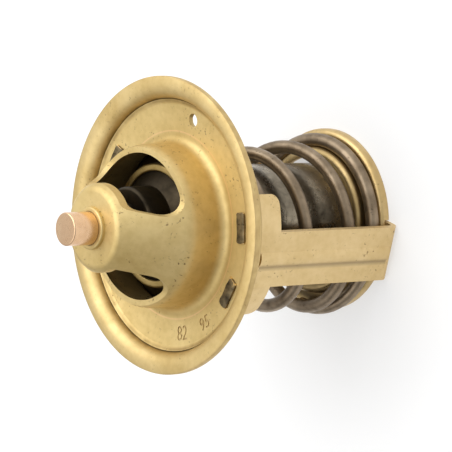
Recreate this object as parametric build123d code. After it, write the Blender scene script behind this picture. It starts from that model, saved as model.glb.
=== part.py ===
from build123d import *
import math
import os

os.makedirs("parts", exist_ok=True)

# Frame: +Z towards the piston pin, +X along the bridge arms and the legs, the vent hole near +Y.
# The origin is on the axis, in the seating face under the rim. Millimetres throughout.
# Radii are chained outwards from the pin and the pot, so each width can be changed by itself.

# Running and assembly clearances
pin_fit = 0.02
slide_fit = 0.05
face_fit = 0.02
cup_fit = 0.05
spring_fit = 0.05
slot_play = 0.15

# Flange: flat rim, rolled step and a narrow web under the bridge floor
rim_t = 1.6
rim_w = 2.0
roll = 3.0
rim_round = 0.4
web_w = 1.7
web_round = 0.6

# Bridge stamping: lip, sloping floor, neck, shoulders and flat top
sheet = 1.1
neck_gap = 5.2
floor_w = 10.0
floor_edge = -1.55
floor_fall = 6.8
lip_w = 1.16
lip_lean = 30.0
lip_gap = 0.15
lip_round = 0.5
foot_round = 2.3
neck_lean = 0.2
shoulder_z = 6.6
shoulder_round = 5.0
flat_r = 8.9
flat_top = 20.3
flat_round = 1.8

# Side windows between the arms
sill_z = 7.37
arm_half = 6.9
crown_w = 1.0
crown_round = 4.0
sill_round = 4.8

# Boss and vent hole
boss_wall = 1.0
boss_high = 0.9
boss_round = 0.4
vent_d = 3.0
vent_turn = 88.7

# Piston pin
pin_r = 3.7
pin_top = 27.6
pin_end = -20.0
pin_chamfer = 0.35
pin_nose = 2.2

# Wax element: cup with a rolled bead, guide with a stem and a nose, rubber parts
pot_r = 13.3
pot_wall = 1.2
pot_bottom = -44.8
pot_round = 2.0
bead_top = 3.2
bead_high = 1.4
bead_over = 0.66
bead_round = 0.55
bead_lip = 0.32
bead_lip_t = 0.6
ledge_w = 0.5
gasket_t = 0.7
guide_rise = 2.3
stem_high = 6.2
stem_step = 3.5
stem_round = 0.8
nose_high = 1.45
nose_wall = 0.7
scraper_w = 1.0
scraper_t = 1.7
boot_wall = 2.5
boot_floor = 1.6
boot_nose = 2.5

# Valve disc
valve_sheet = 1.2
valve_slope = 45.0
valve_fit = 0.03
valve_reach = 0.8
valve_flare = 1.5
valve_drop = 0.55
valve_round = 0.8
hub_round = 0.3

# Main spring
wire_d = 3.1
coil_play = 0.5
low_coil_play = 1.15
coil_drift = 1.6
drift_dir = -69.4
start_dir = 20.6

# Spring seat
seat_face = -46.38
seat_sheet = 1.0
seat_w = 4.1
seat_deep = 2.32
seat_play = 1.56
seat_round = 1.3
collar_foot = 0.4
collar_high = 3.88
collar_round = 1.6
pot_play = 1.3
notch_play = 0.3

# Legs
leg_t = 1.3
leg_gap = 1.8
leg_sweep = 34.5
leg_base_z = -13.0
base_round = 2.3
base_top_round = 1.4
strap_half = 6.42
strap_bend = 2.3
hook_step = 1.1
rib_half = 1.7
rib_high = 0.6
rib_down = 5.2
rib_stop = 2.0

# Staked tabs of the legs
tab_angle = 17.8
tab_w = 6.2
head_over = 0.3
head_out = 1.25
head_in = 0.3
head_high = 0.45
head_edge = 0.15

# Radii and heights that follow from the values above
neck_r = pot_r + neck_gap
step_r = neck_r + floor_w
rim_flat_r = step_r + roll
rim_r = rim_flat_r + rim_w
web_in_r = step_r - web_w
bend_r = step_r - lip_w
leg_r = web_in_r - leg_gap
leg_in = leg_r - leg_t
strap_face = math.sqrt(leg_r ** 2 - strap_half ** 2)
strap_in = strap_face - leg_t
seat_r = strap_in - seat_play
collar_r = seat_r - seat_w
seat_hole_r = pot_r + pot_play
seat_under = seat_face - seat_sheet
seat_bottom = seat_face - seat_deep
collar_top = seat_face + collar_high
fall = math.radians(floor_fall)


def floor_z(r):
    """Height of the bridge floor's upper face at a radius."""
    return floor_edge - (bend_r - r) * math.tan(fall)


def under_z(r):
    """Height of the bridge floor's lower face at a radius."""
    return floor_z(r) - sheet / math.cos(fall)


def ring(outer, inner, z0, z1):
    """A plain ring between two heights."""
    return Pos(0, 0, z0) * (
        Cylinder(outer, z1 - z0, align=(Align.CENTER, Align.CENTER, Align.MIN))
        - Cylinder(inner, z1 - z0, align=(Align.CENTER, Align.CENTER, Align.MIN))
    )


def turned(points):
    """Revolve a closed outline of (radius, height) points."""
    outline = Polyline([(r, 0, z) for r, z in points], close=True)
    return revolve(make_face(outline), Axis.Z, 360)


def pressed(points, bends, thickness):
    """Revolve one sheet whose face runs through (radius, height) points, the metal lying on its left."""
    face = [Vector(r, z) for r, z in points]
    along = [(b - a).normalized() for a, b in zip(face, face[1:])]
    left = [Vector(-d.Y, d.X) * thickness for d in along]
    back = [face[0] + left[0]]
    for corner, before, after in zip(face[1:], left, left[1:]):
        back.append(corner + (before + after) * (thickness ** 2 / (thickness ** 2 + before.dot(after))))
    back.append(face[-1] + left[-1])
    section = make_face(Polyline(face + back[::-1], close=True))
    for corner, other, bend, before, after in zip(face[1:], back[1:], bends, along, along[1:]):
        wider = thickness if before.cross(after).Z < 0 else -thickness
        for place, radius in ((corner, bend), (other, bend + wider)):
            if radius <= 0:
                continue
            found = [v for v in section.vertices() if abs(v.X - place.X) + abs(v.Y - place.Y) < 1e-4]
            section = fillet(found, radius)
    return revolve(Plane.XZ * section, Axis.Z, 360)


def edges_at(part, radius, height, tol=0.05):
    """Circular edges of one radius at one height."""
    found = []
    for e in part.edges().filter_by(GeomType.CIRCLE):
        c = e.arc_center
        if abs(e.radius - radius) < tol and abs(c.Z - height) < tol:
            found.append(e)
    return found


def beam(x0, x1, width, z0, z1):
    """A box on the +X side, used to keep or cut a band of a turned piece."""
    return Pos((x0 + x1) / 2, 0, (z0 + z1) / 2) * Box(x1 - x0, width, z1 - z0)


def save(part, name):
    part.label = name
    export_step(part, "parts/" + name + ".step")


# Mounting flange: one sheet, flat rim, rolled step wall and a web that carries the bridge floor
web_top = under_z(web_in_r) - face_fit
flange = pressed(
    [(rim_r, rim_t), (step_r, rim_t), (step_r, web_top), (web_in_r, web_top)],
    (roll, web_round),
    rim_t,
)
flange = fillet(edges_at(flange, rim_r, rim_t), min(rim_round, rim_t / 3))
save(flange, "mounting_flange")

# Bridge: one sheet drawn into lip, sloping floor, neck, shoulders and flat top
lip_rise = math.tan(math.radians(lip_lean))
bridge = pressed(
    [
        (step_r + lip_w, floor_edge + 2 * lip_w * lip_rise),
        (bend_r, floor_edge),
        (neck_r, floor_z(neck_r)),
        (neck_r - neck_lean, shoulder_z),
        (flat_r, flat_top),
        (pin_r + pin_fit, flat_top),
    ],
    (lip_round, foot_round, shoulder_round, flat_round),
    sheet,
)
bridge &= Cylinder(step_r - lip_gap, 4 * flat_top)

# Two side windows leave the arms and a round crown; all their corners are rounded
crown_r = flat_r + crown_w
beyond = 2 * rim_r
window_plan = Pos(0, arm_half + beyond / 2, 0) * Rectangle(2 * beyond, beyond) - Circle(crown_r)
crown_corners = [v for v in window_plan.vertices() if abs(v.X) < crown_r and v.Y < arm_half + sheet]
window_plan = fillet(crown_corners, crown_round)
window_side = Plane.YZ * (Pos(arm_half + beyond / 2, sill_z + beyond / 2) * Rectangle(beyond, beyond))
sill_corner = [v for v in window_side.vertices() if v.Y < arm_half + sheet and v.Z < sill_z + sheet]
window_side = fillet(sill_corner, sill_round)
window = extrude(Plane.XY.offset(sill_z) * window_plan, beyond) & extrude(window_side, beyond, both=True)
bridge -= window
bridge -= Rot(0, 0, 180) * window

# Boss round the pin
boss_r = pin_r + pin_fit + boss_wall
boss_top = flat_top + boss_high
bridge += ring(boss_r, pin_r + pin_fit, flat_top - sheet, boss_top)
bridge = fillet(edges_at(bridge, boss_r, boss_top), boss_round)

# Vent hole on the circle of the staked heads, and four curved slots for the leg tabs
head_r0 = leg_in - head_in
head_r1 = leg_r + head_out
vent_at = (head_r0 + head_r1) / 2
vent = Pos(vent_at, 0, floor_z(vent_at)) * Cylinder(vent_d / 2, sheet * 4)
bridge -= Rot(0, 0, vent_turn) * vent
slot_ring = ring(leg_r + slot_play, leg_in - slot_play, under_z(leg_in) - sheet, floor_z(leg_r) + sheet)
slot = slot_ring & beam(leg_in / 2, rim_r, tab_w + 2 * slot_play, -10 * sheet, 10 * sheet)
for side in (0, 180):
    for lean in (-tab_angle, tab_angle):
        bridge -= Rot(0, 0, side + lean) * slot
save(bridge, "bridge")

# Piston pin, chamfered outside, drawn to a blunt end in the boot
pin = Pos(0, 0, pin_end) * Cylinder(pin_r, pin_top - pin_end, align=(Align.CENTER, Align.CENTER, Align.MIN))
pin = chamfer(edges_at(pin, pin_r, pin_top), pin_chamfer)
pin = fillet(edges_at(pin, pin_r, pin_end), min(pin_nose, pin_r * 0.8))
save(pin, "piston_pin")

# Wax pot: drawn cup with a ledge for the gasket and a rolled bead that holds the valve and the guide
pot_in = pot_r - pot_wall
cup_r = pot_in + ledge_w
lip_in_r = cup_r - bead_lip
bead_r = pot_r + bead_over
bead_under = bead_top - bead_high
guide_edge = bead_top - bead_lip_t - face_fit
ledge_z = bead_under - gasket_t
pot = turned(
    [
        (0, pot_bottom),
        (pot_r, pot_bottom),
        (pot_r, bead_under),
        (bead_r, bead_under),
        (bead_r, bead_top),
        (lip_in_r, bead_top),
        (lip_in_r, bead_top - bead_lip_t),
        (cup_r, bead_top - bead_lip_t),
        (cup_r, ledge_z),
        (pot_in, ledge_z),
        (pot_in, pot_bottom + pot_wall),
        (0, pot_bottom + pot_wall),
    ]
)
pot = fillet(edges_at(pot, pot_r, pot_bottom), pot_round)
pot = fillet(edges_at(pot, bead_r, bead_top), min(bead_round, bead_over * 0.9))
pot = fillet(edges_at(pot, lip_in_r, bead_top), min(bead_round, bead_lip_t * 0.6))
pot = fillet(edges_at(pot, bead_r, bead_under), bead_over / 2)
save(pot, "wax_pot")

# Element guide: flange under the rolled bead, cone, stem and nose, bored for the pin
bore = pin_r + slide_fit
scraper_r = bore + scraper_w
nose_r = scraper_r + nose_wall
stem_r = nose_r + stem_step
guide_low = ledge_z + gasket_t
stem_foot = guide_edge + guide_rise
stem_top = stem_foot + stem_high
nose_top = stem_top + nose_high
guide = turned(
    [
        (bore, guide_low),
        (cup_r - cup_fit, guide_low),
        (cup_r - cup_fit, guide_edge),
        (lip_in_r - cup_fit, guide_edge),
        (stem_r, stem_foot),
        (stem_r, stem_top),
        (nose_r, stem_top),
        (nose_r, nose_top),
        (scraper_r, nose_top),
        (scraper_r, nose_top - scraper_t),
        (bore, nose_top - scraper_t),
    ]
)
guide = fillet(edges_at(guide, stem_r, stem_top), min(stem_round, stem_step * 0.4))
guide = fillet(edges_at(guide, nose_r, nose_top), nose_wall * 0.4)
save(guide, "element_guide")

# Scraper ring in the nose of the guide
scraper = ring(scraper_r - cup_fit, pin_r + pin_fit, nose_top - scraper_t + face_fit, nose_top - 2 * slide_fit)
save(scraper, "scraper_ring")

# Gasket and boot: one washer under the guide, one blind sleeve round the pin
boot_in = pin_r + slide_fit
boot_out = pin_r + boot_wall
boot_end = pin_end - slide_fit - boot_floor
gasket = ring(cup_r - cup_fit, boot_out + slide_fit, ledge_z + face_fit, guide_low - face_fit)
save(gasket, "rim_gasket")
boot = turned(
    [
        (0, boot_end),
        (boot_out, boot_end),
        (boot_out, guide_low - face_fit),
        (boot_in, guide_low - face_fit),
        (boot_in, boot_end + boot_floor),
        (0, boot_end + boot_floor),
    ]
)
boot = fillet(edges_at(boot, boot_out, boot_end), min(boot_nose, boot_out * 0.4))
save(boot, "rubber_boot")

# Wax charge fills the pot round the boot
wax_low = pot_bottom + pot_wall + face_fit
wax = turned(
    [
        (0, wax_low),
        (pot_in - cup_fit, wax_low),
        (pot_in - cup_fit, ledge_z - face_fit),
        (boot_out + cup_fit, ledge_z - face_fit),
        (boot_out + cup_fit, boot_end - face_fit),
        (0, boot_end - face_fit),
    ]
)
save(wax, "wax_charge")

# Valve disc: its cone touches the round inside of the neck's foot, whose centre is worked out here
foot_z = floor_z(neck_r)
lean = neck_lean / (shoulder_z - foot_z)
to_floor = foot_round / math.cos(fall)
to_neck = foot_round * math.sqrt(1 + lean ** 2)
centre_up = (to_floor + math.tan(fall) * to_neck) / (1 + math.tan(fall) * lean)
centre_out = to_neck - lean * centre_up
slope = math.radians(valve_slope)
contact = (neck_r + centre_out) * math.sin(slope) + (foot_z + centre_up) * math.cos(slope)
contact -= foot_round + sheet + valve_fit
hub_z = bead_under - slide_fit
hub_r = (contact - hub_z * math.cos(slope)) / math.sin(slope)
valve_r = neck_r + valve_reach
valve_z = (contact - valve_r * math.sin(slope)) / math.cos(slope)
valve = pressed(
    [
        (valve_r + valve_flare, valve_z - valve_drop),
        (valve_r, valve_z),
        (hub_r, hub_z),
        (pot_r + slide_fit, hub_z),
    ],
    (valve_round, hub_round),
    valve_sheet,
)
save(valve, "valve_disc")

# Spring seat: guide hole, upstanding collar, flat for the last coil, turned-down rim with two notches
seat = pressed(
    [
        (seat_r, seat_bottom),
        (seat_r, seat_face),
        (collar_r, seat_face),
        (collar_r, collar_top),
        (seat_hole_r, collar_top),
    ],
    (seat_round, collar_foot, min(collar_round, (collar_r - seat_hole_r) * 0.65)),
    seat_sheet,
)
notch_half = strap_half + notch_play
for side in (0, 180):
    seat -= Rot(0, 0, side) * beam(collar_r, 2 * seat_r, 2 * notch_half, seat_bottom - seat_sheet, seat_under)
save(seat, "spring_seat")

# Main spring: conical, both ends closed, a little off centre between them
# Each entry: turn counted from the coil nearest the first window, then shares of the way down,
# of the way from the top radius to the bottom radius, and of the largest sideways drift
coil_law = [
    (-2.6, 0.0, 0.0, 0.0),
    (-2.3, 0.012, 0.01, 0.0),
    (-2.0, 0.06, 0.055, 0.12),
    (-1.5, 0.174, 0.165, 0.5),
    (-1.0, 0.299, 0.275, 0.75),
    (-0.5, 0.428, 0.395, 0.94),
    (0.0, 0.555, 0.515, 1.0),
    (0.5, 0.684, 0.637, 0.94),
    (1.0, 0.842, 0.758, 0.81),
    (1.25, 0.915, 0.824, 0.75),
    (1.5, 0.961, 0.89, 0.69),
    (1.75, 0.986, 0.956, 0.62),
    (1.95, 0.998, 0.99, 0.56),
    (2.12, 1.0, 1.0, 0.56),
    (2.3, 1.0, 1.0, 0.56),
]


def law(turn, column):
    """Smooth value of one column of the coil law at a turn (cubic Hermite through its rows)."""
    rows = coil_law
    k = 0
    while k < len(rows) - 2 and turn > rows[k + 1][0]:
        k += 1
    before = rows[max(k - 1, 0)]
    a = rows[k]
    b = rows[k + 1]
    after = rows[min(k + 2, len(rows) - 1)]
    width = b[0] - a[0]
    s = (turn - a[0]) / width
    ma = (b[column] - before[column]) / (b[0] - before[0]) * width
    mb = (after[column] - a[column]) / (after[0] - a[0]) * width
    return (
        (2 * s ** 3 - 3 * s ** 2 + 1) * a[column]
        + (s ** 3 - 2 * s ** 2 + s) * ma
        + (3 * s ** 2 - 2 * s ** 3) * b[column]
        + (s ** 3 - s ** 2) * mb
    )


wire_r = wire_d / 2
top_coil_r = pot_r + coil_play + wire_r
low_coil_r = collar_r + low_coil_play + wire_r
top_coil_z = (contact - valve_sheet - spring_fit - wire_r - top_coil_r * math.sin(slope)) / math.cos(slope)
low_coil_z = seat_face + spring_fit + wire_r
drift_turn = math.radians(drift_dir)
per_turn = 14
first = coil_law[0][0]
last = coil_law[-1][0]
steps = round((last - first) * per_turn)
centres = []
for i in range(steps + 1):
    turn = first + (last - first) * i / steps
    angle = math.radians(start_dir) - 2 * math.pi * turn
    height = top_coil_z + (low_coil_z - top_coil_z) * law(turn, 1)
    radius = top_coil_r + (low_coil_r - top_coil_r) * law(turn, 2)
    drift = coil_drift * law(turn, 3)
    x = radius * math.cos(angle) + drift * math.cos(drift_turn)
    y = radius * math.sin(angle) + drift * math.sin(drift_turn)
    centres.append((x, y, height))
coil_path = Spline(centres)
wire = sweep(Plane(coil_path @ 0, z_dir=coil_path % 0) * Circle(wire_r), path=coil_path)
save(wire, "main_spring")

# Leg base: an arc with a flat in the middle, its four corners rounded
leg_top = under_z(strap_in) - face_fit
reach = 2 * leg_r
reach_x = reach * math.cos(math.radians(leg_sweep))
reach_y = reach * math.sin(math.radians(leg_sweep))
sector = make_face(Polyline((0, 0), (reach_x, -reach_y), (reach, -reach_y), (reach, reach_y), (reach_x, reach_y), close=True))
curved = (Circle(leg_r) - Circle(leg_in)) & sector
middle = Pos(leg_r, 0, 0) * Rectangle(leg_r, 2 * strap_half)
flat_band = Pos(strap_face - leg_t / 2, 0, 0) * Rectangle(leg_t, 2 * strap_half)
base = extrude(Plane.XY.offset(leg_base_z) * ((curved - middle) + flat_band), leg_top - leg_base_z)
for corner_z, corner_round in ((leg_base_z, base_round), (leg_top, base_top_round)):
    corners = []
    for e in base.edges():
        c = e.center()
        if abs(math.degrees(math.atan2(c.Y, c.X))) > leg_sweep - 1 and abs(c.Z - corner_z) < 0.01:
            corners.append(e)
    base = fillet(corners, corner_round)

# Strap: runs down from the flat and turns in under the spring seat
hook_bottom = seat_under - face_fit - leg_t
hook_in = collar_r + hook_step
with BuildPart() as strap_build:
    with BuildSketch(Plane.XZ):
        with BuildLine():
            FilletPolyline(
                (strap_face, leg_top),
                (strap_face, hook_bottom),
                (hook_in, hook_bottom),
                radius=strap_bend,
            )
            offset(amount=leg_t, side=Side.RIGHT)
        make_face()
    extrude(amount=strap_half, both=True)
rib_low_z = seat_bottom + rib_stop
rib_len = leg_top - rib_down - rib_low_z
rib_rad = (rib_half ** 2 + rib_high ** 2) / (2 * rib_high)
rib = Pos(strap_face + rib_high - rib_rad, 0, rib_low_z) * Cylinder(
    rib_rad, rib_len, align=(Align.CENTER, Align.CENTER, Align.MIN)
)
rib &= beam(strap_face - leg_t / 2, strap_face + leg_t, 4 * rib_half, rib_low_z, rib_low_z + rib_len)

# Tabs: each stands up through its slot and is staked into a flat head on the bridge floor
tab = ring(leg_r, leg_in, leg_top - leg_t, floor_z(leg_in) + head_high / 2)
tab &= beam(leg_in / 2, rim_r, tab_w, leg_base_z, flat_top)
head_section = [
    (head_r0, floor_z(head_r0) + face_fit),
    (head_r1, floor_z(head_r1) + face_fit),
    (head_r1, floor_z(head_r1) + head_high - head_edge),
    (head_r1 - head_edge, floor_z(head_r1) + head_high),
    (head_r0 + head_edge, floor_z(head_r0) + head_high),
    (head_r0, floor_z(head_r0) + head_high - head_edge),
]
head = turned(head_section) & beam(leg_in / 2, rim_r, tab_w + 2 * head_over, leg_base_z, flat_top)
leg = base + strap_build.part + rib
for side in (-tab_angle, tab_angle):
    leg += Rot(0, 0, side) * (tab + head)
save(leg, "leg_front")
save(Rot(0, 0, 180) * leg, "leg_rear")
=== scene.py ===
import math

import bmesh
import bpy
from mathutils import Matrix, Vector


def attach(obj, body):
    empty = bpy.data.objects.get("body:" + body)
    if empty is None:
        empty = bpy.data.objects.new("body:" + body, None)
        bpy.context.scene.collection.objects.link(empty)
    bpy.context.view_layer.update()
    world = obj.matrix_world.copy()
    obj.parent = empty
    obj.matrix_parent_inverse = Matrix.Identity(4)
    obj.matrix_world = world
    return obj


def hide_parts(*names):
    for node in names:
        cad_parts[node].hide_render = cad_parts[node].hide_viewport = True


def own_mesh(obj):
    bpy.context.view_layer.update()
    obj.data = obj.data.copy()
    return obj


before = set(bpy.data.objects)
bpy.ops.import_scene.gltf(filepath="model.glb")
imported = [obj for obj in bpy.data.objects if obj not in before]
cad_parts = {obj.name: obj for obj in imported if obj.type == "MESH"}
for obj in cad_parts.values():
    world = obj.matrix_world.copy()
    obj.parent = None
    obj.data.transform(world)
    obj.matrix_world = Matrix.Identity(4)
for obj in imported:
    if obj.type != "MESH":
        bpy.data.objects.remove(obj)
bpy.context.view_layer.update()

# Mounting flange: one ring of brass sheet that the housing clamps by its flat rim.
# It is pressed, with a large roll down to the step wall and a narrow web that carries the bridge.
# Its corners are (radius, height, rounding) in mm; all meshes are made in mm and placed in metres.
MM = 0.001
ROUND_STEPS = 192
RIM_T = 1.6
RIM_R = 33.5
STEP_R = 28.5
ROLL = 3.0
WEB_TOP = -2.742
WEB_IN_R = 26.8
WEB_ROUND = 0.6
flange_line = [
    (RIM_R, RIM_T, 0),
    (STEP_R, RIM_T, ROLL),
    (STEP_R, WEB_TOP, WEB_ROUND),
    (WEB_IN_R, WEB_TOP, 0),
]


def turned(corners, steps=ROUND_STEPS, closed=False):
    """Spin an outline about the axis, then round the loops of its corners; the top faces look up."""
    bm = bmesh.new()
    line = [bm.verts.new((r, 0.0, z)) for r, z, rounding in corners]
    pairs = list(zip(line, line[1:]))
    if closed:
        pairs.append((line[-1], line[0]))
    edges = [bm.edges.new(pair) for pair in pairs]
    bmesh.ops.spin(
        bm,
        geom=line + edges,
        cent=(0, 0, 0),
        axis=(0, 0, 1),
        angle=2 * math.pi,
        steps=steps,
        use_merge=True,
    )
    bmesh.ops.remove_doubles(bm, verts=bm.verts, dist=1e-4)
    for i, (r, z, rounding) in enumerate(corners):
        if rounding == 0:
            continue
        here = Vector((r, z))
        before = Vector(corners[i - 1][:2]) - here
        after = Vector(corners[(i + 1) % len(corners)][:2]) - here
        half = before.angle(after) / 2
        loop = []
        for edge in bm.edges:
            if all(abs(v.co.z - z) < 1e-3 and abs(v.co.xy.length - r) < 1e-3 for v in edge.verts):
                loop.append(edge)
        bmesh.ops.bevel(
            bm,
            geom=loop,
            offset=rounding / math.tan(half),
            offset_type="OFFSET",
            affect="EDGES",
            segments=max(3, math.ceil((180 - 2 * math.degrees(half)) / 10)),
            profile=0.5,
            material=-1,
        )
    bmesh.ops.recalc_face_normals(bm, faces=bm.faces)
    top = max(bm.faces, key=lambda face: face.calc_center_median().z)
    if top.normal.z < 0:
        bmesh.ops.reverse_faces(bm, faces=bm.faces)
    return bm


def shade(bm, sharp=32.0):
    """Smooth faces, with a sharp edge where two of them meet at a large angle."""
    for face in bm.faces:
        face.smooth = True
    for edge in bm.edges:
        if len(edge.link_faces) == 2:
            edge.smooth = edge.calc_face_angle(0.0) < math.radians(sharp)


def loose(bm, name):
    """A mesh in mm as an object in metres that rides on nothing yet."""
    bmesh.ops.scale(bm, vec=(MM, MM, MM), verts=bm.verts)
    mesh = bpy.data.meshes.new(name)
    bm.to_mesh(mesh)
    bm.free()
    piece = bpy.data.objects.new(name, mesh)
    bpy.context.scene.collection.objects.link(piece)
    return piece


def place(bm, name, material, body, slot, *nodes, sharp=32.0):
    """Make a piece that rides on a body and stands for the named solids."""
    shade(bm, sharp)
    piece = loose(bm, name)
    piece.data.materials.append(material)
    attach(piece, body)
    if nodes:
        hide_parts(*nodes)
    return piece


def settle(piece):
    """Apply a piece's modifiers, merge its seams and shade it again."""
    bpy.context.view_layer.update()
    seen = piece.evaluated_get(bpy.context.evaluated_depsgraph_get())
    made = bpy.data.meshes.new_from_object(seen)
    piece.modifiers.clear()
    old = piece.data
    piece.data = made
    bpy.data.meshes.remove(old)
    bm = bmesh.new()
    bm.from_mesh(made)
    bmesh.ops.remove_doubles(bm, verts=bm.verts, dist=1e-7)
    shade(bm)
    bm.to_mesh(made)
    bm.free()


def give_gauge(piece, thickness, edge):
    """Give a pressed face its sheet thickness on its lower side, and break the free edges."""
    wall = piece.modifiers.new("gauge", "SOLIDIFY")
    wall.thickness = thickness * MM
    wall.offset = -1.0
    wall.use_even_offset = True
    burr = piece.modifiers.new("broken_edge", "BEVEL")
    burr.width = edge * MM
    burr.segments = 2
    burr.limit_method = "ANGLE"
    burr.angle_limit = math.radians(60)
    settle(piece)


def maths(tree, kind, a, b=None):
    """One arithmetic step in a node tree, on sockets or numbers."""
    node = tree.nodes.new("ShaderNodeMath")
    node.operation = kind
    for socket, given in zip(node.inputs, (a, b)):
        if isinstance(given, float):
            socket.default_value = given
        elif given is not None:
            tree.links.new(given, socket)
    return node.outputs[0]


def spread(tree, value, low, high, to_low=0.0, to_high=1.0):
    """A node that stretches a value from one range to another; each end is a socket or a number."""
    node = tree.nodes.new("ShaderNodeMapRange")
    tree.links.new(value, node.inputs["Value"])
    for label, end in (("From Min", low), ("From Max", high), ("To Min", to_low), ("To Max", to_high)):
        if isinstance(end, float):
            node.inputs[label].default_value = end
        else:
            tree.links.new(end, node.inputs[label])
    return node


def tinted(tree, under, colour, mask):
    """Lay a colour over the colour below by a mask."""
    coat = tree.nodes.new("ShaderNodeMix")
    coat.data_type = "RGBA"
    if isinstance(under, tuple):
        coat.inputs["A"].default_value = (*under, 1.0)
    else:
        tree.links.new(under, coat.inputs["A"])
    coat.inputs["B"].default_value = (*colour, 1.0)
    tree.links.new(mask, coat.inputs["Factor"])
    return coat.outputs["Result"]


def open_group(name, inputs, outputs):
    """An empty shader group with named numbers going in and coming out."""
    tree = bpy.data.node_groups.new(name, "ShaderNodeTree")
    for label, value in inputs:
        socket = tree.interface.new_socket(label, in_out="INPUT", socket_type="NodeSocketFloat")
        socket.default_value = value
    for label in outputs:
        tree.interface.new_socket(label, in_out="OUTPUT", socket_type="NodeSocketFloat")
    given = tree.nodes.new("NodeGroupInput")
    out = tree.nodes.new("NodeGroupOutput")
    where = tree.nodes.new("ShaderNodeTexCoord")
    return tree, given.outputs, out.inputs, where.outputs["Object"]


def marks_group():
    """Shader group of handling marks: cloudy tint, hair scratches, pits and the height of all three."""
    tree, given, out, where = open_group(
        "handled_metal_marks",
        (("Cloud Size", 120.0), ("Scratches", 0.5), ("Pits", 0.5), ("Seed", 0.0)),
        ("Cloud", "Scratch", "Pit", "Height"),
    )
    nodes = tree.nodes
    links = tree.links
    shift = nodes.new("ShaderNodeVectorMath")
    links.new(where, shift.inputs[0])
    links.new(given["Seed"], shift.inputs[1])

    def noise(scale, detail, low, high, place_from=shift.outputs[0]):
        """Noise stretched so that low to high fills the range from none to full."""
        texture = nodes.new("ShaderNodeTexNoise")
        texture.inputs["Detail"].default_value = detail
        links.new(place_from, texture.inputs["Vector"])
        if isinstance(scale, float):
            texture.inputs["Scale"].default_value = scale
        else:
            links.new(scale, texture.inputs["Scale"])
        return spread(tree, texture.outputs["Fac"], low, high).outputs["Result"]

    large = maths(tree, "MULTIPLY", noise(given["Cloud Size"], 6.0, 0.34, 0.68), 0.72)
    small = maths(tree, "MULTIPLY", noise(620.0, 4.0, 0.40, 0.70), 0.28)
    links.new(maths(tree, "ADD", large, small), out["Cloud"])
    streaks = None
    for turn, stretch, size in ((0.35, 26.0, 900.0), (-0.9, 34.0, 1300.0), (1.45, 20.0, 700.0)):
        lean = nodes.new("ShaderNodeMapping")
        lean.inputs["Rotation"].default_value = (turn, turn * 0.6, turn * 1.7)
        lean.inputs["Scale"].default_value = (1.0, 1.0 / stretch, 1.0)
        links.new(shift.outputs[0], lean.inputs["Vector"])
        streak = noise(size, 2.0, 0.64, 0.74, lean.outputs["Vector"])
        streaks = streak if streaks is None else maths(tree, "MAXIMUM", streaks, streak)
    scratch = maths(tree, "MULTIPLY", streaks, given["Scratches"])
    links.new(scratch, out["Scratch"])
    specks = maths(tree, "MULTIPLY", noise(1400.0, 3.0, 0.62, 0.72), noise(160.0, 2.0, 0.46, 0.62))
    pit = maths(tree, "MULTIPLY", specks, given["Pits"])
    links.new(pit, out["Pit"])
    grain = maths(tree, "MULTIPLY", noise(2600.0, 2.0, 0.3, 0.7), 0.14)
    waves = maths(tree, "MULTIPLY", noise(260.0, 2.0, 0.2, 0.8), 0.5)
    relief = maths(tree, "ADD", grain, waves)
    links.new(maths(tree, "SUBTRACT", relief, maths(tree, "ADD", scratch, pit)), out["Height"])
    return tree


def ring_group():
    """Shader group for a soft ring at one distance from the axis, broken up by noise."""
    tree, given, out, where = open_group(
        "ring_mark_shade_highlight",
        (("Radius", 0.02), ("Half Width", 0.001), ("Broken", 0.5)),
        ("Band",),
    )
    nodes = tree.nodes
    links = tree.links
    flat = nodes.new("ShaderNodeVectorMath")
    flat.operation = "MULTIPLY"
    flat.inputs[1].default_value = (1.0, 1.0, 0.0)
    links.new(where, flat.inputs[0])
    length = nodes.new("ShaderNodeVectorMath")
    length.operation = "LENGTH"
    links.new(flat.outputs[0], length.inputs[0])
    away = maths(tree, "ABSOLUTE", maths(tree, "SUBTRACT", length.outputs["Value"], given["Radius"]))
    band = spread(tree, away, 0.0, given["Half Width"], 1.0, 0.0)
    band.interpolation_type = "SMOOTHSTEP"
    gaps = nodes.new("ShaderNodeTexNoise")
    gaps.inputs["Scale"].default_value = 330.0
    gaps.inputs["Detail"].default_value = 4.0
    links.new(where, gaps.inputs["Vector"])
    whole = maths(tree, "SUBTRACT", 1.0, given["Broken"])
    kept = spread(tree, gaps.outputs["Fac"], 0.38, 0.62, whole, 1.0)
    links.new(maths(tree, "MULTIPLY", band.outputs["Result"], kept.outputs["Result"]), out["Band"])
    return tree


MARKS = marks_group()
RING = ring_group()


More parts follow.
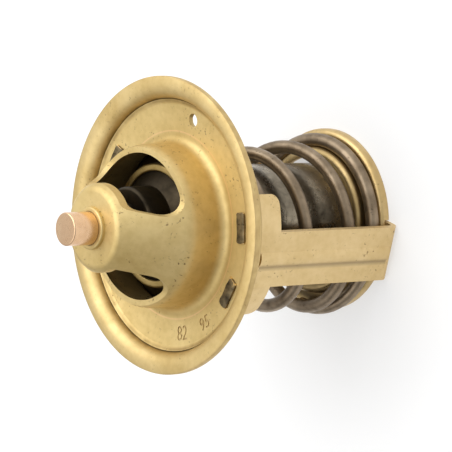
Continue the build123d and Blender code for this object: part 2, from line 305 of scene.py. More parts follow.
def worked_metal(
    name,
    bright,
    dull,
    stain,
    rough,
    cloud=120.0,
    scratch=0.5,
    pit=0.5,
    bump=0.3,
    seed=0.0,
    metal=1.0,
    rings=(),
):
    """A metal clouded from bright to dull, with stained pits, scratches, fine grain, and rings of painted
    shade, painted highlight and marks.

    Each ring is its radius and half width in mm, its strength, how broken it is, and its colour.
    """
    material = bpy.data.materials.new(name)
    material.use_nodes = True
    tree = material.node_tree
    nodes = tree.nodes
    links = tree.links
    shader = nodes["Principled BSDF"]
    marks = nodes.new("ShaderNodeGroup")
    marks.node_tree = MARKS
    marks.inputs["Cloud Size"].default_value = cloud
    marks.inputs["Scratches"].default_value = scratch
    marks.inputs["Pits"].default_value = pit
    marks.inputs["Seed"].default_value = seed
    tint = tinted(tree, bright, dull, marks.outputs["Cloud"])
    colour = tinted(tree, tint, stain, marks.outputs["Pit"])
    for radius, half_width, strength, broken, ring_colour in rings:
        ring = nodes.new("ShaderNodeGroup")
        ring.node_tree = RING
        ring.inputs["Radius"].default_value = radius * MM
        ring.inputs["Half Width"].default_value = half_width * MM
        ring.inputs["Broken"].default_value = broken
        colour = tinted(tree, colour, ring_colour, maths(tree, "MULTIPLY", ring.outputs["Band"], strength))
    links.new(colour, shader.inputs["Base Color"])
    level = spread(tree, marks.outputs["Cloud"], 0.0, 1.0, rough, rough + 0.12)
    links.new(level.outputs["Result"], shader.inputs["Roughness"])
    relief = nodes.new("ShaderNodeBump")
    relief.inputs["Strength"].default_value = bump
    relief.inputs["Distance"].default_value = 0.00005
    links.new(marks.outputs["Height"], relief.inputs["Height"])
    links.new(relief.outputs["Normal"], shader.inputs["Normal"])
    shader.inputs["Metallic"].default_value = metal
    return material


flange_brass = worked_metal(
    "flange_brass",
    bright=(0.73, 0.565, 0.275),
    dull=(0.56, 0.41, 0.17),
    stain=(0.20, 0.12, 0.045),
    rough=0.5,
    cloud=90.0,
    scratch=0.55,
    pit=0.6,
    rings=(
        (RIM_R, 0.55, 0.5, 0.75, (0.42, 0.28, 0.12)),
        # Painted shade: darker brass over the step wall and its foot, where the roll turns down into shade.
        (STEP_R, 0.5, 0.6, 0.6, (0.22, 0.14, 0.05)),
    ),
)
flange = place(turned(flange_line), "flange_ring", flange_brass, "frame", "flange_brass", "mounting_flange")
give_gauge(flange, RIM_T, 0.3)

# Bridge: one brass sheet drawn into lip, sloping floor, neck, shoulders and a flat crown with a boss.
# The two windows, four tab slots, vent hole and stamped numbers are cut afterwards, as the press does.
SHEET = 1.1
LIP_R = 29.66
LIP_RISE = 1.339
LIP_GAP = 0.15
BEND_R = 27.34
BEND_ROUND = 0.5
FLOOR_EDGE = -1.55
FALL = math.radians(6.8)
NECK_R = 18.5
NECK_LEAN = 0.2
NECK_FOOT = 2.3
SHOULDER_Z = 6.6
SHOULDER_ROUND = 5.0
FLAT_R = 8.9
FLAT_TOP = 20.3
FLAT_ROUND = 1.8
FLAT_HOLE_R = 2.5
SILL_Z = 7.37
SILL_ROUND = 4.8
ARM_HALF = 6.9
CROWN_R = 9.9
CROWN_ROUND = 4.0
PIN_R = 3.7
BORE_R = 3.72
BOSS_WALL = 1.0
BOSS_HIGH = 0.9


def floor_z(r):
    """Height of the bridge floor's upper face at a radius."""
    return FLOOR_EDGE - (BEND_R - r) * math.tan(FALL)


bridge_brass = worked_metal(
    "bridge_brass",
    bright=(0.72, 0.56, 0.265),
    dull=(0.53, 0.39, 0.155),
    stain=(0.17, 0.10, 0.04),
    rough=0.52,
    cloud=70.0,
    scratch=0.5,
    pit=0.9,
    seed=3.1,
    rings=(
        # Painted shade: darker brass in the concave foot of the neck.
        (20.3, 0.9, 0.5, 0.3, (0.42, 0.30, 0.11)),
        # Painted highlight: a thin light ring at the outer edge of the neck's foot.
        (21.2, 0.3, 0.6, 0.1, (0.80, 0.55, 0.31)),
        # Painted shade: darker brass at the floor's outer edge, where it meets the flange's step wall.
        (28.0, 0.6, 0.6, 0.6, (0.30, 0.19, 0.07)),
        (PIN_R, 0.35, 0.8, 0.2, (0.16, 0.09, 0.03)),
    ),
)
bridge_line = [
    (LIP_R, FLOOR_EDGE + LIP_RISE, 0),
    (BEND_R, FLOOR_EDGE, BEND_ROUND),
    (NECK_R, floor_z(NECK_R), NECK_FOOT),
    (NECK_R - NECK_LEAN, SHOULDER_Z, SHOULDER_ROUND),
    (FLAT_R, FLAT_TOP, FLAT_ROUND),
    (FLAT_HOLE_R, FLAT_TOP, 0),
]
bridge = place(turned(bridge_line), "bridge_stamping", bridge_brass, "frame", "bridge_brass", "bridge")
give_gauge(bridge, SHEET, 0.06)


def combine(piece, tool, how):
    """Cut a piece with a tool, join it, or keep what they share, and drop the tool."""
    change = piece.modifiers.new("change", "BOOLEAN")
    change.operation = how
    change.solver = "EXACT"
    change.material_mode = "TRANSFER"
    change.object = tool
    settle(piece)
    bpy.data.objects.remove(tool)


def rod_tool(name, radius, z0, z1, at=(0.0, 0.0), segments=ROUND_STEPS):
    """A plain cylinder between two heights, for cutting."""
    bm = bmesh.new()
    turn = Matrix.Translation((at[0], at[1], (z0 + z1) / 2))
    bmesh.ops.create_cone(
        bm,
        cap_ends=True,
        segments=segments,
        radius1=radius,
        radius2=radius,
        depth=z1 - z0,
        matrix=turn,
    )
    return loose(bm, name)


def block_tool(lows, highs):
    """A plain block between two corners, in mm."""
    bm = bmesh.new()
    bmesh.ops.create_cube(bm, size=1.0)
    bmesh.ops.scale(bm, vec=[b - a for a, b in zip(lows, highs)], verts=bm.verts)
    bmesh.ops.translate(bm, vec=[(a + b) / 2 for a, b in zip(lows, highs)], verts=bm.verts)
    return bm


combine(bridge, rod_tool("lip_trim", STEP_R - LIP_GAP, -10.0, 30.0), "INTERSECT")


def window_tool():
    """One side window: its plan leaves two arms and a round crown, its side view has round sill corners."""
    rise = ARM_HALF + CROWN_ROUND
    across = math.sqrt((CROWN_R + CROWN_ROUND) ** 2 - rise**2)
    touch = math.atan2(rise, across)
    bm = bmesh.new()
    below = SILL_Z - 1.0
    far = 45.0
    first = bm.verts.new((across, ARM_HALF, below))
    tip = [first]
    arcs = (
        (across, rise, touch - math.pi / 2),
        (0.0, 0.0, math.pi - 2 * touch),
        (-across, rise, touch - math.pi / 2),
    )
    for x, y, sweep in arcs:
        done = bmesh.ops.spin(bm, geom=tip, cent=(x, y, 0), axis=(0, 0, 1), angle=sweep, steps=20)
        tip = [v for v in done["geom_last"] if isinstance(v, bmesh.types.BMVert)]
    outside = ((-far, ARM_HALF), (-far, far), (far, far), (far, ARM_HALF))
    corners = [bm.verts.new((x, y, below)) for x, y in outside]
    for pair in zip([tip[0]] + corners, corners + [first]):
        bm.edges.new(pair)
    made = bmesh.ops.contextual_create(bm, geom=bm.edges)
    top = bmesh.ops.extrude_face_region(bm, geom=made["faces"])
    lifted = [v for v in top["geom"] if isinstance(v, bmesh.types.BMVert)]
    bmesh.ops.translate(bm, vec=(0, 0, 40), verts=lifted)
    bmesh.ops.recalc_face_normals(bm, faces=bm.faces)
    window = loose(bm, "window_tool")
    near = far - 1.0
    side = block_tool((-near, ARM_HALF - 1e-4, SILL_Z), (near, near, near))
    low_edge = []
    for edge in side.edges:
        if all(v.co.y < ARM_HALF + 1 and v.co.z < SILL_Z + 1 for v in edge.verts):
            low_edge.append(edge)
    bmesh.ops.bevel(
        side,
        geom=low_edge,
        offset=SILL_ROUND,
        affect="EDGES",
        segments=12,
        profile=0.5,
        material=-1,
    )
    combine(window, loose(side, "side_tool"), "INTERSECT")
    return window


for half_turn in (0.0, math.pi):
    window = window_tool()
    window.matrix_world = Matrix.Rotation(half_turn, 4, "Z")
    combine(bridge, window, "DIFFERENCE")

boss_r = BORE_R + BOSS_WALL
boss_top = FLAT_TOP + BOSS_HIGH
boss_foot = FLAT_TOP - 0.6
boss_line = [
    (0, boss_foot, 0),
    (boss_r, boss_foot, 0),
    (boss_r, boss_top, 0.4),
    (0, boss_top, 0),
]
combine(bridge, loose(turned(boss_line), "boss_tool"), "UNION")
combine(bridge, rod_tool("bore_tool", BORE_R, 10.0, 30.0), "DIFFERENCE")

SLOT_IN_R = 23.55
SLOT_OUT_R = 25.1
SLOT_HALF = 3.25
TAB_TURNS = (-17.8, 17.8, 162.2, 197.8)
for tab_turn in TAB_TURNS:
    slot = loose(block_tool((SLOT_IN_R, -SLOT_HALF, -6.0), (SLOT_OUT_R, SLOT_HALF, 0.0)), "slot_tool")
    slot.matrix_world = Matrix.Rotation(math.radians(tab_turn), 4, "Z")
    combine(bridge, slot, "DIFFERENCE")
PITCH_R = 24.825
VENT_R = 1.5
VENT_TURN = math.radians(88.7)
vent = rod_tool("vent_tool", VENT_R, -6.0, 1.0, (PITCH_R, 0.0), 48)
vent.matrix_world = Matrix.Rotation(VENT_TURN, 4, "Z")
combine(bridge, vent, "DIFFERENCE")

# Stamped temperatures: plain opening and full-lift numbers punched into the floor, tops towards the neck.
# The tool that cuts each number carries a darker brass, painted shade inside each groove.
stamp_recess_shade = worked_metal(
    "stamp_recess_shade",
    bright=(0.56, 0.41, 0.19),
    dull=(0.42, 0.29, 0.12),
    stain=(0.14, 0.08, 0.03),
    rough=0.5,
    cloud=400.0,
    scratch=0.2,
    pit=0.4,
    seed=5.0,
)


def mesh_of(curve):
    """The mesh that a curve or a text makes."""
    holder = bpy.data.objects.new(curve.name, curve)
    bpy.context.scene.collection.objects.link(holder)
    bpy.context.view_layer.update()
    seen = holder.evaluated_get(bpy.context.evaluated_depsgraph_get())
    mesh = bpy.data.meshes.new_from_object(seen)
    bpy.data.objects.remove(holder)
    bm = bmesh.new()
    bm.from_mesh(mesh)
    bpy.data.meshes.remove(mesh)
    return bm


def stamp(piece, text, azimuth, radius, tall, wide, depth=0.14):
    """Punch plain digits into the sloping floor at an azimuth in degrees."""
    curve = bpy.data.curves.new("stamp_" + text, "FONT")
    curve.body = text
    curve.size = 1.0
    curve.resolution_u = 4
    bm = mesh_of(curve)
    bmesh.ops.remove_doubles(bm, verts=bm.verts, dist=1e-4)
    top = bmesh.ops.extrude_face_region(bm, geom=bm.faces[:])
    lifted = [v for v in top["geom"] if isinstance(v, bmesh.types.BMVert)]
    bmesh.ops.translate(bm, vec=(0, 0, 1), verts=lifted)
    bmesh.ops.recalc_face_normals(bm, faces=bm.faces)
    lows = [min(v.co[axis] for v in bm.verts) for axis in (0, 1)]
    highs = [max(v.co[axis] for v in bm.verts) for axis in (0, 1)]
    bmesh.ops.translate(bm, vec=(-(lows[0] + highs[0]) / 2, -(lows[1] + highs[1]) / 2, 0), verts=bm.verts)
    bmesh.ops.scale(bm, vec=(wide / (highs[0] - lows[0]), tall / (highs[1] - lows[1]), 1.0), verts=bm.verts)
    turn = math.radians(azimuth)
    out = Vector((math.cos(turn), math.sin(turn), 0))
    digit_right = Vector((-math.sin(turn), math.cos(turn), 0))
    digit_up = -(out * math.cos(FALL) + Vector((0, 0, math.sin(FALL))))
    away = digit_right.cross(digit_up)
    at = out * radius + Vector((0, 0, floor_z(radius))) - away * depth
    axes = Matrix((digit_right, digit_up, away)).transposed().to_4x4()
    bmesh.ops.transform(bm, matrix=Matrix.Translation(at) @ axes, verts=bm.verts)
    tool = loose(bm, "stamp_tool")
    tool.data.materials.append(stamp_recess_shade)
    combine(piece, tool, "DIFFERENCE")


stamp(bridge, "82", -63.7, 24.4, 3.3, 3.5)
stamp(bridge, "95", -43.8, 24.3, 3.0, 3.3)

# Piston pin: a ground copper-coloured rod fixed in the boss; the wax element slides on its lower end.
# Its outer end has a small broken edge and its buried end is drawn to a blunt nose in the boot.
pin_copper = worked_metal(
    "pin_copper",
    bright=(0.84, 0.58, 0.36),
    dull=(0.64, 0.41, 0.24),
    stain=(0.30, 0.16, 0.08),
    rough=0.19,
    cloud=110.0,
    scratch=0.3,
    pit=0.3,
    seed=7.7,
)
PIN_END = -20.0
PIN_NOSE = 2.2
PIN_TOP = 27.6
PIN_EDGE = 0.35
pin_line = [(0, PIN_END, 0), (PIN_R, PIN_END, PIN_NOSE), (PIN_R, PIN_TOP, PIN_EDGE), (0, PIN_TOP, 0)]
place(turned(pin_line, steps=96), "pin", pin_copper, "frame", "pin_copper", "piston_pin")

# Wax pot: a deep drawn brass cup, dark and handled, whose rim is rolled over the valve and the guide.
# The rolling leaves the rim brighter than the wall, so its faces carry a brass of their own.
POT_R = 13.3
POT_IN_R = 12.1
POT_BOTTOM = -44.8
POT_FLOOR = 1.2
BEAD_R = 13.96
BEAD_FOOT = 1.8
BEAD_TOP = 3.2
BEAD_IN_R = 12.28
BEAD_LIP = 0.6
GASKET_R = 12.6
LEDGE_Z = 1.1
pot_metal = worked_metal(
    "pot_metal",
    bright=(0.38, 0.325, 0.24),
    dull=(0.11, 0.094, 0.068),
    stain=(0.05, 0.035, 0.018),
    rough=0.23,
    cloud=150.0,
    scratch=0.8,
    pit=0.9,
    bump=0.5,
    seed=11.3,
)
pot_line = [
    (0, POT_BOTTOM, 0),
    (POT_R, POT_BOTTOM, 2.0),
    (POT_R, BEAD_FOOT, 0.2),
    (BEAD_R, BEAD_FOOT, 0.3),
    (BEAD_R, BEAD_TOP, 0.55),
    (BEAD_IN_R, BEAD_TOP, 0.36),
    (BEAD_IN_R, BEAD_TOP - BEAD_LIP, 0),
    (GASKET_R, BEAD_TOP - BEAD_LIP, 0),
    (GASKET_R, LEDGE_Z, 0),
    (POT_IN_R, LEDGE_Z, 0),
    (POT_IN_R, POT_BOTTOM + POT_FLOOR, 0),
    (0, POT_BOTTOM + POT_FLOOR, 0),
]
pot = place(turned(pot_line), "wax_pot_cup", pot_metal, "element", "pot_metal", "wax_pot")
rolled_brass = worked_metal(
    "rolled_brass",
    bright=(0.50, 0.36, 0.14),
    dull=(0.34, 0.24, 0.08),
    stain=(0.10, 0.07, 0.03),
    rough=0.4,
    cloud=150.0,
    scratch=0.6,
    pit=0.6,
    seed=12.1,
)
pot.data.materials.append(rolled_brass)
for face in pot.data.polygons:
    if face.center.z > (BEAD_FOOT - 0.1) * MM:
        face.material_index = 1

# Element guide: turned brass, painted near black for the shade under the crown; it closes the pot, and its
# stem runs on the pin.
guide_dark = worked_metal(
    "guide_dark",
    bright=(0.055, 0.042, 0.026),
    dull=(0.018, 0.014, 0.009),
    stain=(0.008, 0.006, 0.004),
    rough=0.42,
    cloud=180.0,
    scratch=0.4,
    pit=0.5,
    seed=17.9,
)
GUIDE_BORE = 3.75
GUIDE_R = 12.55
GUIDE_SEAT = 1.8
GUIDE_EDGE = 2.58
STEM_R = 8.95
STEM_FOOT = 4.88
STEM_TOP = 11.08
NOSE_R = 5.45
NOSE_TOP = 12.53
SCRAPER_R = 4.75
SCRAPER_Z = 10.83
guide_line = [
    (GUIDE_BORE, GUIDE_SEAT, 0),
    (GUIDE_R, GUIDE_SEAT, 0),
    (GUIDE_R, GUIDE_EDGE, 0),
    (GUIDE_R - 0.32, GUIDE_EDGE, 0),
    (STEM_R, STEM_FOOT, 0.4),
    (STEM_R, STEM_TOP, 0.8),
    (NOSE_R, STEM_TOP, 0),
    (NOSE_R, NOSE_TOP, 0.28),
    (SCRAPER_R, NOSE_TOP, 0),
    (SCRAPER_R, SCRAPER_Z, 0),
    (GUIDE_BORE, SCRAPER_Z, 0),
]
stem = turned(guide_line, steps=128, closed=True)
place(stem, "guide_stem", guide_dark, "element", "guide_dark", "element_guide")

# Valve disc: a pressed cone, painted near black for the shade inside the neck, under the rolled rim of the
# pot that closes the neck from below.
# On its 45 degree face the radius and the height add up to VALVE_SUM, and its outer edge flares flatter.
VALVE_SUM = 15.862
VALVE_R = 19.3
VALVE_T = 1.2
HUB_Z = 1.75
valve_dark = worked_metal(
    "valve_dark",
    bright=(0.07, 0.05, 0.026),
    dull=(0.025, 0.018, 0.010),
    stain=(0.010, 0.007, 0.004),
    rough=0.42,
    cloud=140.0,
    scratch=0.3,
    pit=0.5,
    seed=23.3,
)
valve_line = [
    (VALVE_R + 1.5, VALVE_SUM - VALVE_R - 0.55, 0),
    (VALVE_R, VALVE_SUM - VALVE_R, 0.8),
    (VALVE_SUM - HUB_Z, HUB_Z, 0),
    (POT_R + 0.05, HUB_Z, 0),
]
valve = place(turned(valve_line), "valve_cone", valve_dark, "element", "valve_dark", "valve_disc")
give_gauge(valve, VALVE_T, 0.08)

# Spring seat: a brass dish with a guide hole in an upstanding collar and a turned-down rim.
# The rim has a notch for each leg, and the last coil of the spring lies on the flat round the collar.
SEAT_FACE = -46.38
SEAT_R = 21.3
SEAT_T = 1.0
SEAT_DEEP = 2.32
COLLAR_R = 17.2
COLLAR_IN_R = 14.6
COLLAR_TOP = SEAT_FACE + 3.88
NOTCH_HALF = 6.72
seat_brass = worked_metal(
    "seat_brass",
    bright=(0.66, 0.49, 0.24),
    dull=(0.46, 0.32, 0.13),
    stain=(0.15, 0.09, 0.035),
    rough=0.36,
    cloud=110.0,
    scratch=0.5,
    pit=0.6,
    seed=29.0,
    rings=(
        # Painted shade: the collar top darkened for the shade inside the spring.
        (15.9, 1.6, 0.55, 0.3, (0.13, 0.095, 0.045)),
        # Dirt and painted shadow: the flat under the last coil is darkened, partly soil where the coil lies
        # and partly the coil's shadow.
        (18.8, 1.9, 0.8, 0.25, (0.10, 0.075, 0.04)),
    ),
)
seat_line = [
    (SEAT_R, SEAT_FACE - SEAT_DEEP, 0),
    (SEAT_R, SEAT_FACE, 1.3),
    (COLLAR_R, SEAT_FACE, 0.4),
    (COLLAR_R, COLLAR_TOP, 1.6),
    (COLLAR_IN_R, COLLAR_TOP, 0),
]
seat = place(turned(seat_line), "seat_dish", seat_brass, "frame", "seat_brass", "spring_seat")
give_gauge(seat, SEAT_T, 0.1)
for half_turn in (0.0, math.pi):
    notch = block_tool((COLLAR_R, -NOTCH_HALF, SEAT_FACE - 5.0), (24.0, NOTCH_HALF, SEAT_FACE - SEAT_T))
    notch = loose(notch, "notch_tool")
    notch.matrix_world = Matrix.Rotation(half_turn, 4, "Z")
    combine(seat, notch, "DIFFERENCE")

# Main spring: a conical coil of round steel wire with both ends closed, wound a little off centre.
# Each row of its law: turn, then shares of the way down, of the growth in radius and of the sideways drift.
WIRE_R = 1.55
COIL_TOP = (15.35, -3.443)
COIL_LOW = (19.9, SEAT_FACE + 1.6)
COIL_DRIFT = 1.6
DRIFT_TURN = math.radians(-69.4)
START_TURN = math.radians(20.6)
COIL_LAW = [
    (-2.6, 0.0, 0.0, 0.0),
    (-2.3, 0.012, 0.01, 0.0),
    (-2.0, 0.06, 0.055, 0.12),
    (-1.5, 0.174, 0.165, 0.5),
    (-1.0, 0.299, 0.275, 0.75),
    (-0.5, 0.428, 0.395, 0.94),
    (0.0, 0.555, 0.515, 1.0),
    (0.5, 0.684, 0.637, 0.94),
    (1.0, 0.842, 0.758, 0.81),
    (1.25, 0.915, 0.824, 0.75),
    (1.5, 0.961, 0.89, 0.69),
    (1.75, 0.986, 0.956, 0.62),
    (1.95, 0.998, 0.99, 0.56),
    (2.12, 1.0, 1.0, 0.56),
    (2.3, 1.0, 1.0, 0.56),
]


def coil_value(turn, column):
    """One column of the coil law at a turn, eased through its rows."""
    k = 0
    while k < len(COIL_LAW) - 2 and turn > COIL_LAW[k + 1][0]:
        k += 1
    a = COIL_LAW[k]
    b = COIL_LAW[k + 1]
    before = COIL_LAW[max(k - 1, 0)]
    after = COIL_LAW[min(k + 2, len(COIL_LAW) - 1)]
    width = b[0] - a[0]
    s = (turn - a[0]) / width
    slope_a = (b[column] - before[column]) / (b[0] - before[0]) * width
    slope_b = (after[column] - a[column]) / (after[0] - a[0]) * width
    ease_a = 2 * s**3 - 3 * s**2 + 1
    ease_b = 3 * s**2 - 2 * s**3
    bend = (s**3 - 2 * s**2 + s) * slope_a + (s**3 - s**2) * slope_b
    return ease_a * a[column] + ease_b * b[column] + bend


spring_steel = worked_metal(
    "spring_steel",
    bright=(0.35, 0.27, 0.185),
    dull=(0.16, 0.118, 0.075),
    stain=(0.05, 0.035, 0.025),
    rough=0.36,
    cloud=200.0,
    scratch=0.6,
    pit=0.7,
    seed=41.0,
)
coil_line = bpy.data.curves.new("coil_line", "CURVE")
coil_line.dimensions = "3D"
coil_line.bevel_depth = WIRE_R * MM
coil_line.bevel_resolution = 8
coil_line.use_fill_caps = True
strand = coil_line.splines.new("POLY")
first_turn = COIL_LAW[0][0]
last_turn = COIL_LAW[-1][0]
points_along = 330
strand.points.add(points_along)
for i, point in enumerate(strand.points):
    turn = first_turn + (last_turn - first_turn) * i / points_along
    angle = START_TURN - 2 * math.pi * turn
    height = COIL_TOP[1] + (COIL_LOW[1] - COIL_TOP[1]) * coil_value(turn, 1)
    radius = COIL_TOP[0] + (COIL_LOW[0] - COIL_TOP[0]) * coil_value(turn, 2)
    drift = COIL_DRIFT * coil_value(turn, 3)
    x = radius * math.cos(angle) + drift * math.cos(DRIFT_TURN)
    y = radius * math.sin(angle) + drift * math.sin(DRIFT_TURN)
    point.co = (x * MM, y * MM, height * MM, 1.0)
coil = mesh_of(coil_line)
bmesh.ops.remove_doubles(coil, verts=coil.verts, dist=1e-7)
bmesh.ops.recalc_face_normals(coil, faces=coil.faces)
bmesh.ops.scale(coil, vec=(1 / MM, 1 / MM, 1 / MM), verts=coil.verts)
spring = place(coil, "coil_spring", spring_steel, "frame", "spring_steel", "main_spring", sharp=50.0)
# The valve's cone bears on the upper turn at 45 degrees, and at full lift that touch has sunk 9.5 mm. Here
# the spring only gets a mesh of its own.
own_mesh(spring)

# Legs: two brass plates that hang from the floor by staked tabs and hook under the spring seat.
# Each tab's end is spread over the floor by the staking press, which leaves it rough, dark and mottled.
leg_brass = worked_metal(
    "leg_brass",
    bright=(0.76, 0.58, 0.31),
    dull=(0.62, 0.45, 0.20),
    stain=(0.22, 0.13, 0.05),
    rough=0.42,
    cloud=60.0,
    scratch=0.45,
    pit=0.8,
    seed=53.0,
)


def paint_rib_shadow(material, off_centre, half_width, low, high, shadow_colour):
    """Paint the rib's shadow as a darker line along one side of the strap's rib, the same side on both
    legs.
    """
    tree = material.node_tree
    base = tree.nodes["Principled BSDF"].inputs["Base Color"]
    where = tree.nodes.new("ShaderNodeTexCoord")
    parts = tree.nodes.new("ShaderNodeSeparateXYZ")
    tree.links.new(where.outputs["Object"], parts.inputs[0])
    across = maths(tree, "MULTIPLY", parts.outputs["Y"], maths(tree, "SIGN", parts.outputs["X"]))
    away = maths(tree, "ABSOLUTE", maths(tree, "SUBTRACT", across, off_centre * MM))
    line = spread(tree, away, 0.0, half_width * MM, 0.85, 0.0)
    above = maths(tree, "GREATER_THAN", parts.outputs["Z"], low * MM)
    below = maths(tree, "LESS_THAN", parts.outputs["Z"], high * MM)
    along = maths(tree, "MULTIPLY", above, below)
    mask = maths(tree, "MULTIPLY", line.outputs["Result"], along)
    tree.links.new(tinted(tree, base.links[0].from_socket, shadow_colour, mask), base)


# Painted shadow of the rib: a darker line along its lower side on both straps.
paint_rib_shadow(leg_brass, -1.8, 0.9, -46.5, -8.6, (0.36, 0.27, 0.15))
for node in ("leg_front", "leg_rear"):
    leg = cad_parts[node]
    leg.data.materials.clear()
    leg.data.materials.append(leg_brass)

staked_brass = worked_metal(
    "staked_brass",
    bright=(0.26, 0.20, 0.11),
    dull=(0.025, 0.02, 0.014),
    stain=(0.02, 0.015, 0.01),
    rough=0.5,
    cloud=640.0,
    scratch=0.6,
    pit=1.0,
    bump=0.9,
    seed=61.0,
)
HEAD_WIDE = 2.96
HEAD_LONG = 6.92
HEAD_THICK = 0.7
HEAD_CORNER = 0.9
HEAD_EDGE = 0.2
HEAD_LIFT = 0.2
for number, tab_turn in enumerate(TAB_TURNS):
    head = bmesh.new()
    bmesh.ops.create_cube(head, size=1.0)
    bmesh.ops.scale(head, vec=(HEAD_WIDE, HEAD_LONG, HEAD_THICK), verts=head.verts)
    upright = [edge for edge in head.edges if abs(edge.verts[0].co.z - edge.verts[1].co.z) > 0.1]
    bevelled = {"affect": "EDGES", "profile": 0.5, "material": -1}
    bmesh.ops.bevel(head, geom=upright, offset=HEAD_CORNER, segments=5, **bevelled)
    rims = [edge for edge in head.edges if abs(edge.verts[0].co.z - edge.verts[1].co.z) < 0.01]
    bmesh.ops.bevel(head, geom=rims, offset=HEAD_EDGE, segments=2, **bevelled)
    bmesh.ops.subdivide_edges(head, edges=head.edges, cuts=3, use_grid_fill=True)
    for vert in head.verts:
        x, y, z = vert.co
        swell = 1 + 0.05 * math.sin(1.9 * y + number)
        dent = 0.05 * math.sin(3.1 * y + 2.2 * x + number) + 0.04 * math.sin(5.3 * y - number)
        vert.co = Vector((x * swell, y, z + dent * (z > 0)))
    lean = Matrix.Rotation(-FALL, 4, "Y")
    up_to = Matrix.Translation((PITCH_R, 0, floor_z(PITCH_R) + HEAD_LIFT))
    about = Matrix.Rotation(math.radians(tab_turn), 4, "Z")
    bmesh.ops.transform(head, matrix=about @ up_to @ lean, verts=head.verts)
    bmesh.ops.recalc_face_normals(head, faces=head.faces)
    place(head, "staked_end_%d" % (number + 1), staked_brass, "frame", "leg_brass")

# Seals and wax: black rubber scraper, gasket and boot, and the tan wax mix, all closed in the pot.
# Little or nothing of them shows, so the plain solids stay and only take their materials here.
rubber = worked_metal(
    "seal_rubber",
    bright=(0.035, 0.035, 0.035),
    dull=(0.02, 0.02, 0.02),
    stain=(0.01, 0.01, 0.01),
    rough=0.55,
    scratch=0.1,
    pit=0.3,
    metal=0.0,
)
wax_mix = worked_metal(
    "wax_mix",
    bright=(0.42, 0.30, 0.17),
    dull=(0.34, 0.24, 0.13),
    stain=(0.22, 0.15, 0.08),
    rough=0.6,
    scratch=0.1,
    pit=0.6,
    metal=0.0,
)
for node, material in (
    ("scraper_ring", rubber),
    ("rim_gasket", rubber),
    ("rubber_boot", rubber),
    ("wax_charge", wax_mix),
):
    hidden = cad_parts[node]
    hidden.data.materials.clear()
    hidden.data.materials.append(material)

# Studio: a wide sheet of white paper just under the lowest leg hook.
# It glows only for the camera and for mirror-like reflections, so it looks white in both of them.
PAPER_Z = -48.75
sheet = bmesh.new()
bmesh.ops.create_grid(sheet, x_segments=1, y_segments=1, size=2000.0)
bmesh.ops.translate(sheet, vec=(0, 0, PAPER_Z), verts=sheet.verts)
floor = loose(sheet, "studio_floor")
paper = bpy.data.materials.new("studio_paper")
paper.use_nodes = True
paper_tree = paper.node_tree
paper_shader = paper_tree.nodes["Principled BSDF"]
paper_shader.inputs["Base Color"].default_value = (0.42, 0.42, 0.42, 1.0)
paper_shader.inputs["Roughness"].default_value = 0.9
paper_shader.inputs["Emission Color"].default_value = (1.0, 1.0, 1.0, 1.0)
paper_ray = paper_tree.nodes.new("ShaderNodeLightPath").outputs
paper_seen = maths(paper_tree, "MAXIMUM", paper_ray["Is Camera Ray"], paper_ray["Is Glossy Ray"])
paper_glow = maths(paper_tree, "MULTIPLY", paper_seen, 0.55)
paper_tree.links.new(paper_glow, paper_shader.inputs["Emission Strength"])
floor.data.materials.append(paper)

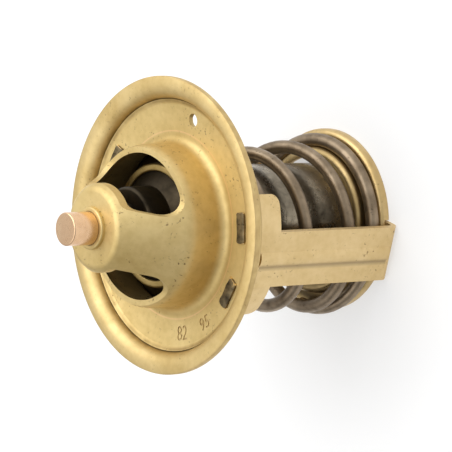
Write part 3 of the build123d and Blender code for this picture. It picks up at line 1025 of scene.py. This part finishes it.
# Camera: at the photograph's angle, about 20.9 degrees round the axis and 39.3 degrees above the floor.
# It stands 600 mm from the rim and is rolled, so the axis of the object lies nearly level in the picture.
VIEW_ROUND = math.radians(20.9)
VIEW_HIGH = math.radians(39.269)
VIEW_ROLL = math.radians(-2.373)
VIEW_FAR = 0.6
SHIFT_RIGHT = 0.014955
SHIFT_UP = -0.000124
outward = Vector((math.cos(VIEW_ROUND), math.sin(VIEW_ROUND), 0.0))
upward = Vector((0.0, 0.0, 1.0))
back = math.cos(VIEW_HIGH) * outward + math.sin(VIEW_HIGH) * upward
right_level = math.sin(VIEW_HIGH) * outward - math.cos(VIEW_HIGH) * upward
up_level = upward.cross(outward)
right = math.cos(VIEW_ROLL) * right_level + math.sin(VIEW_ROLL) * up_level
up = math.cos(VIEW_ROLL) * up_level - math.sin(VIEW_ROLL) * right_level
camera_data = bpy.data.cameras.new("photo_camera")
camera_data.lens = 213.39
camera_data.sensor_width = 36.0
camera_data.clip_start = 0.01
camera = bpy.data.objects.new("photo_camera", camera_data)
bpy.context.scene.collection.objects.link(camera)
camera_place = RIM_T * MM * upward + VIEW_FAR * back + SHIFT_RIGHT * right + SHIFT_UP * up
camera_turn = Matrix((right, up, back)).transposed().to_4x4()
camera.matrix_world = Matrix.Translation(camera_place) @ camera_turn
bpy.context.scene.camera = camera

# Light: two wide soft lamps on the left, one high and one low, as the photograph's highlights show.
# The air dims from the upper left to the lower right, so the metal has a bright and a darker side.
LAMP_FAR = 0.9
LAMP_SIZE = 1.1


def soft_lamp(name, toward, power):
    """A square area lamp that looks at the object from a direction given in the photograph's axes."""
    lamp = bpy.data.lights.new(name, "AREA")
    lamp.shape = "SQUARE"
    lamp.size = LAMP_SIZE
    lamp.energy = power
    holder = bpy.data.objects.new(name, lamp)
    bpy.context.scene.collection.objects.link(holder)
    direction = (toward[0] * right + toward[1] * up + toward[2] * back).normalized()
    holder.location = direction * LAMP_FAR
    holder.rotation_euler = direction.to_track_quat("Z", "Y").to_euler()


soft_lamp("key_lamp", (-0.95, 0.75, 0.6), 6.6)
soft_lamp("low_lamp", (-1.0, -0.6, 0.6), 2.6)
world = bpy.data.worlds.new("studio_air")
bpy.context.scene.world = world
world.use_nodes = True
air_tree = world.node_tree
air = air_tree.nodes["Background"]
air.inputs["Color"].default_value = (0.98, 0.99, 1.0, 1.0)
air_place = air_tree.nodes.new("ShaderNodeTexCoord")
air_side = air_tree.nodes.new("ShaderNodeVectorMath")
air_side.operation = "DOT_PRODUCT"
air_side.inputs[1].default_value = (-0.45 * right + 0.85 * up + 0.25 * back).normalized()
air_tree.links.new(air_place.outputs["Generated"], air_side.inputs[0])
air_level = spread(air_tree, air_side.outputs["Value"], -0.8, 0.8, 0.24, 1.0)
air_tree.links.new(air_level.outputs["Result"], air.inputs["Strength"])

scene = bpy.context.scene
scene.view_settings.view_transform = "Standard"
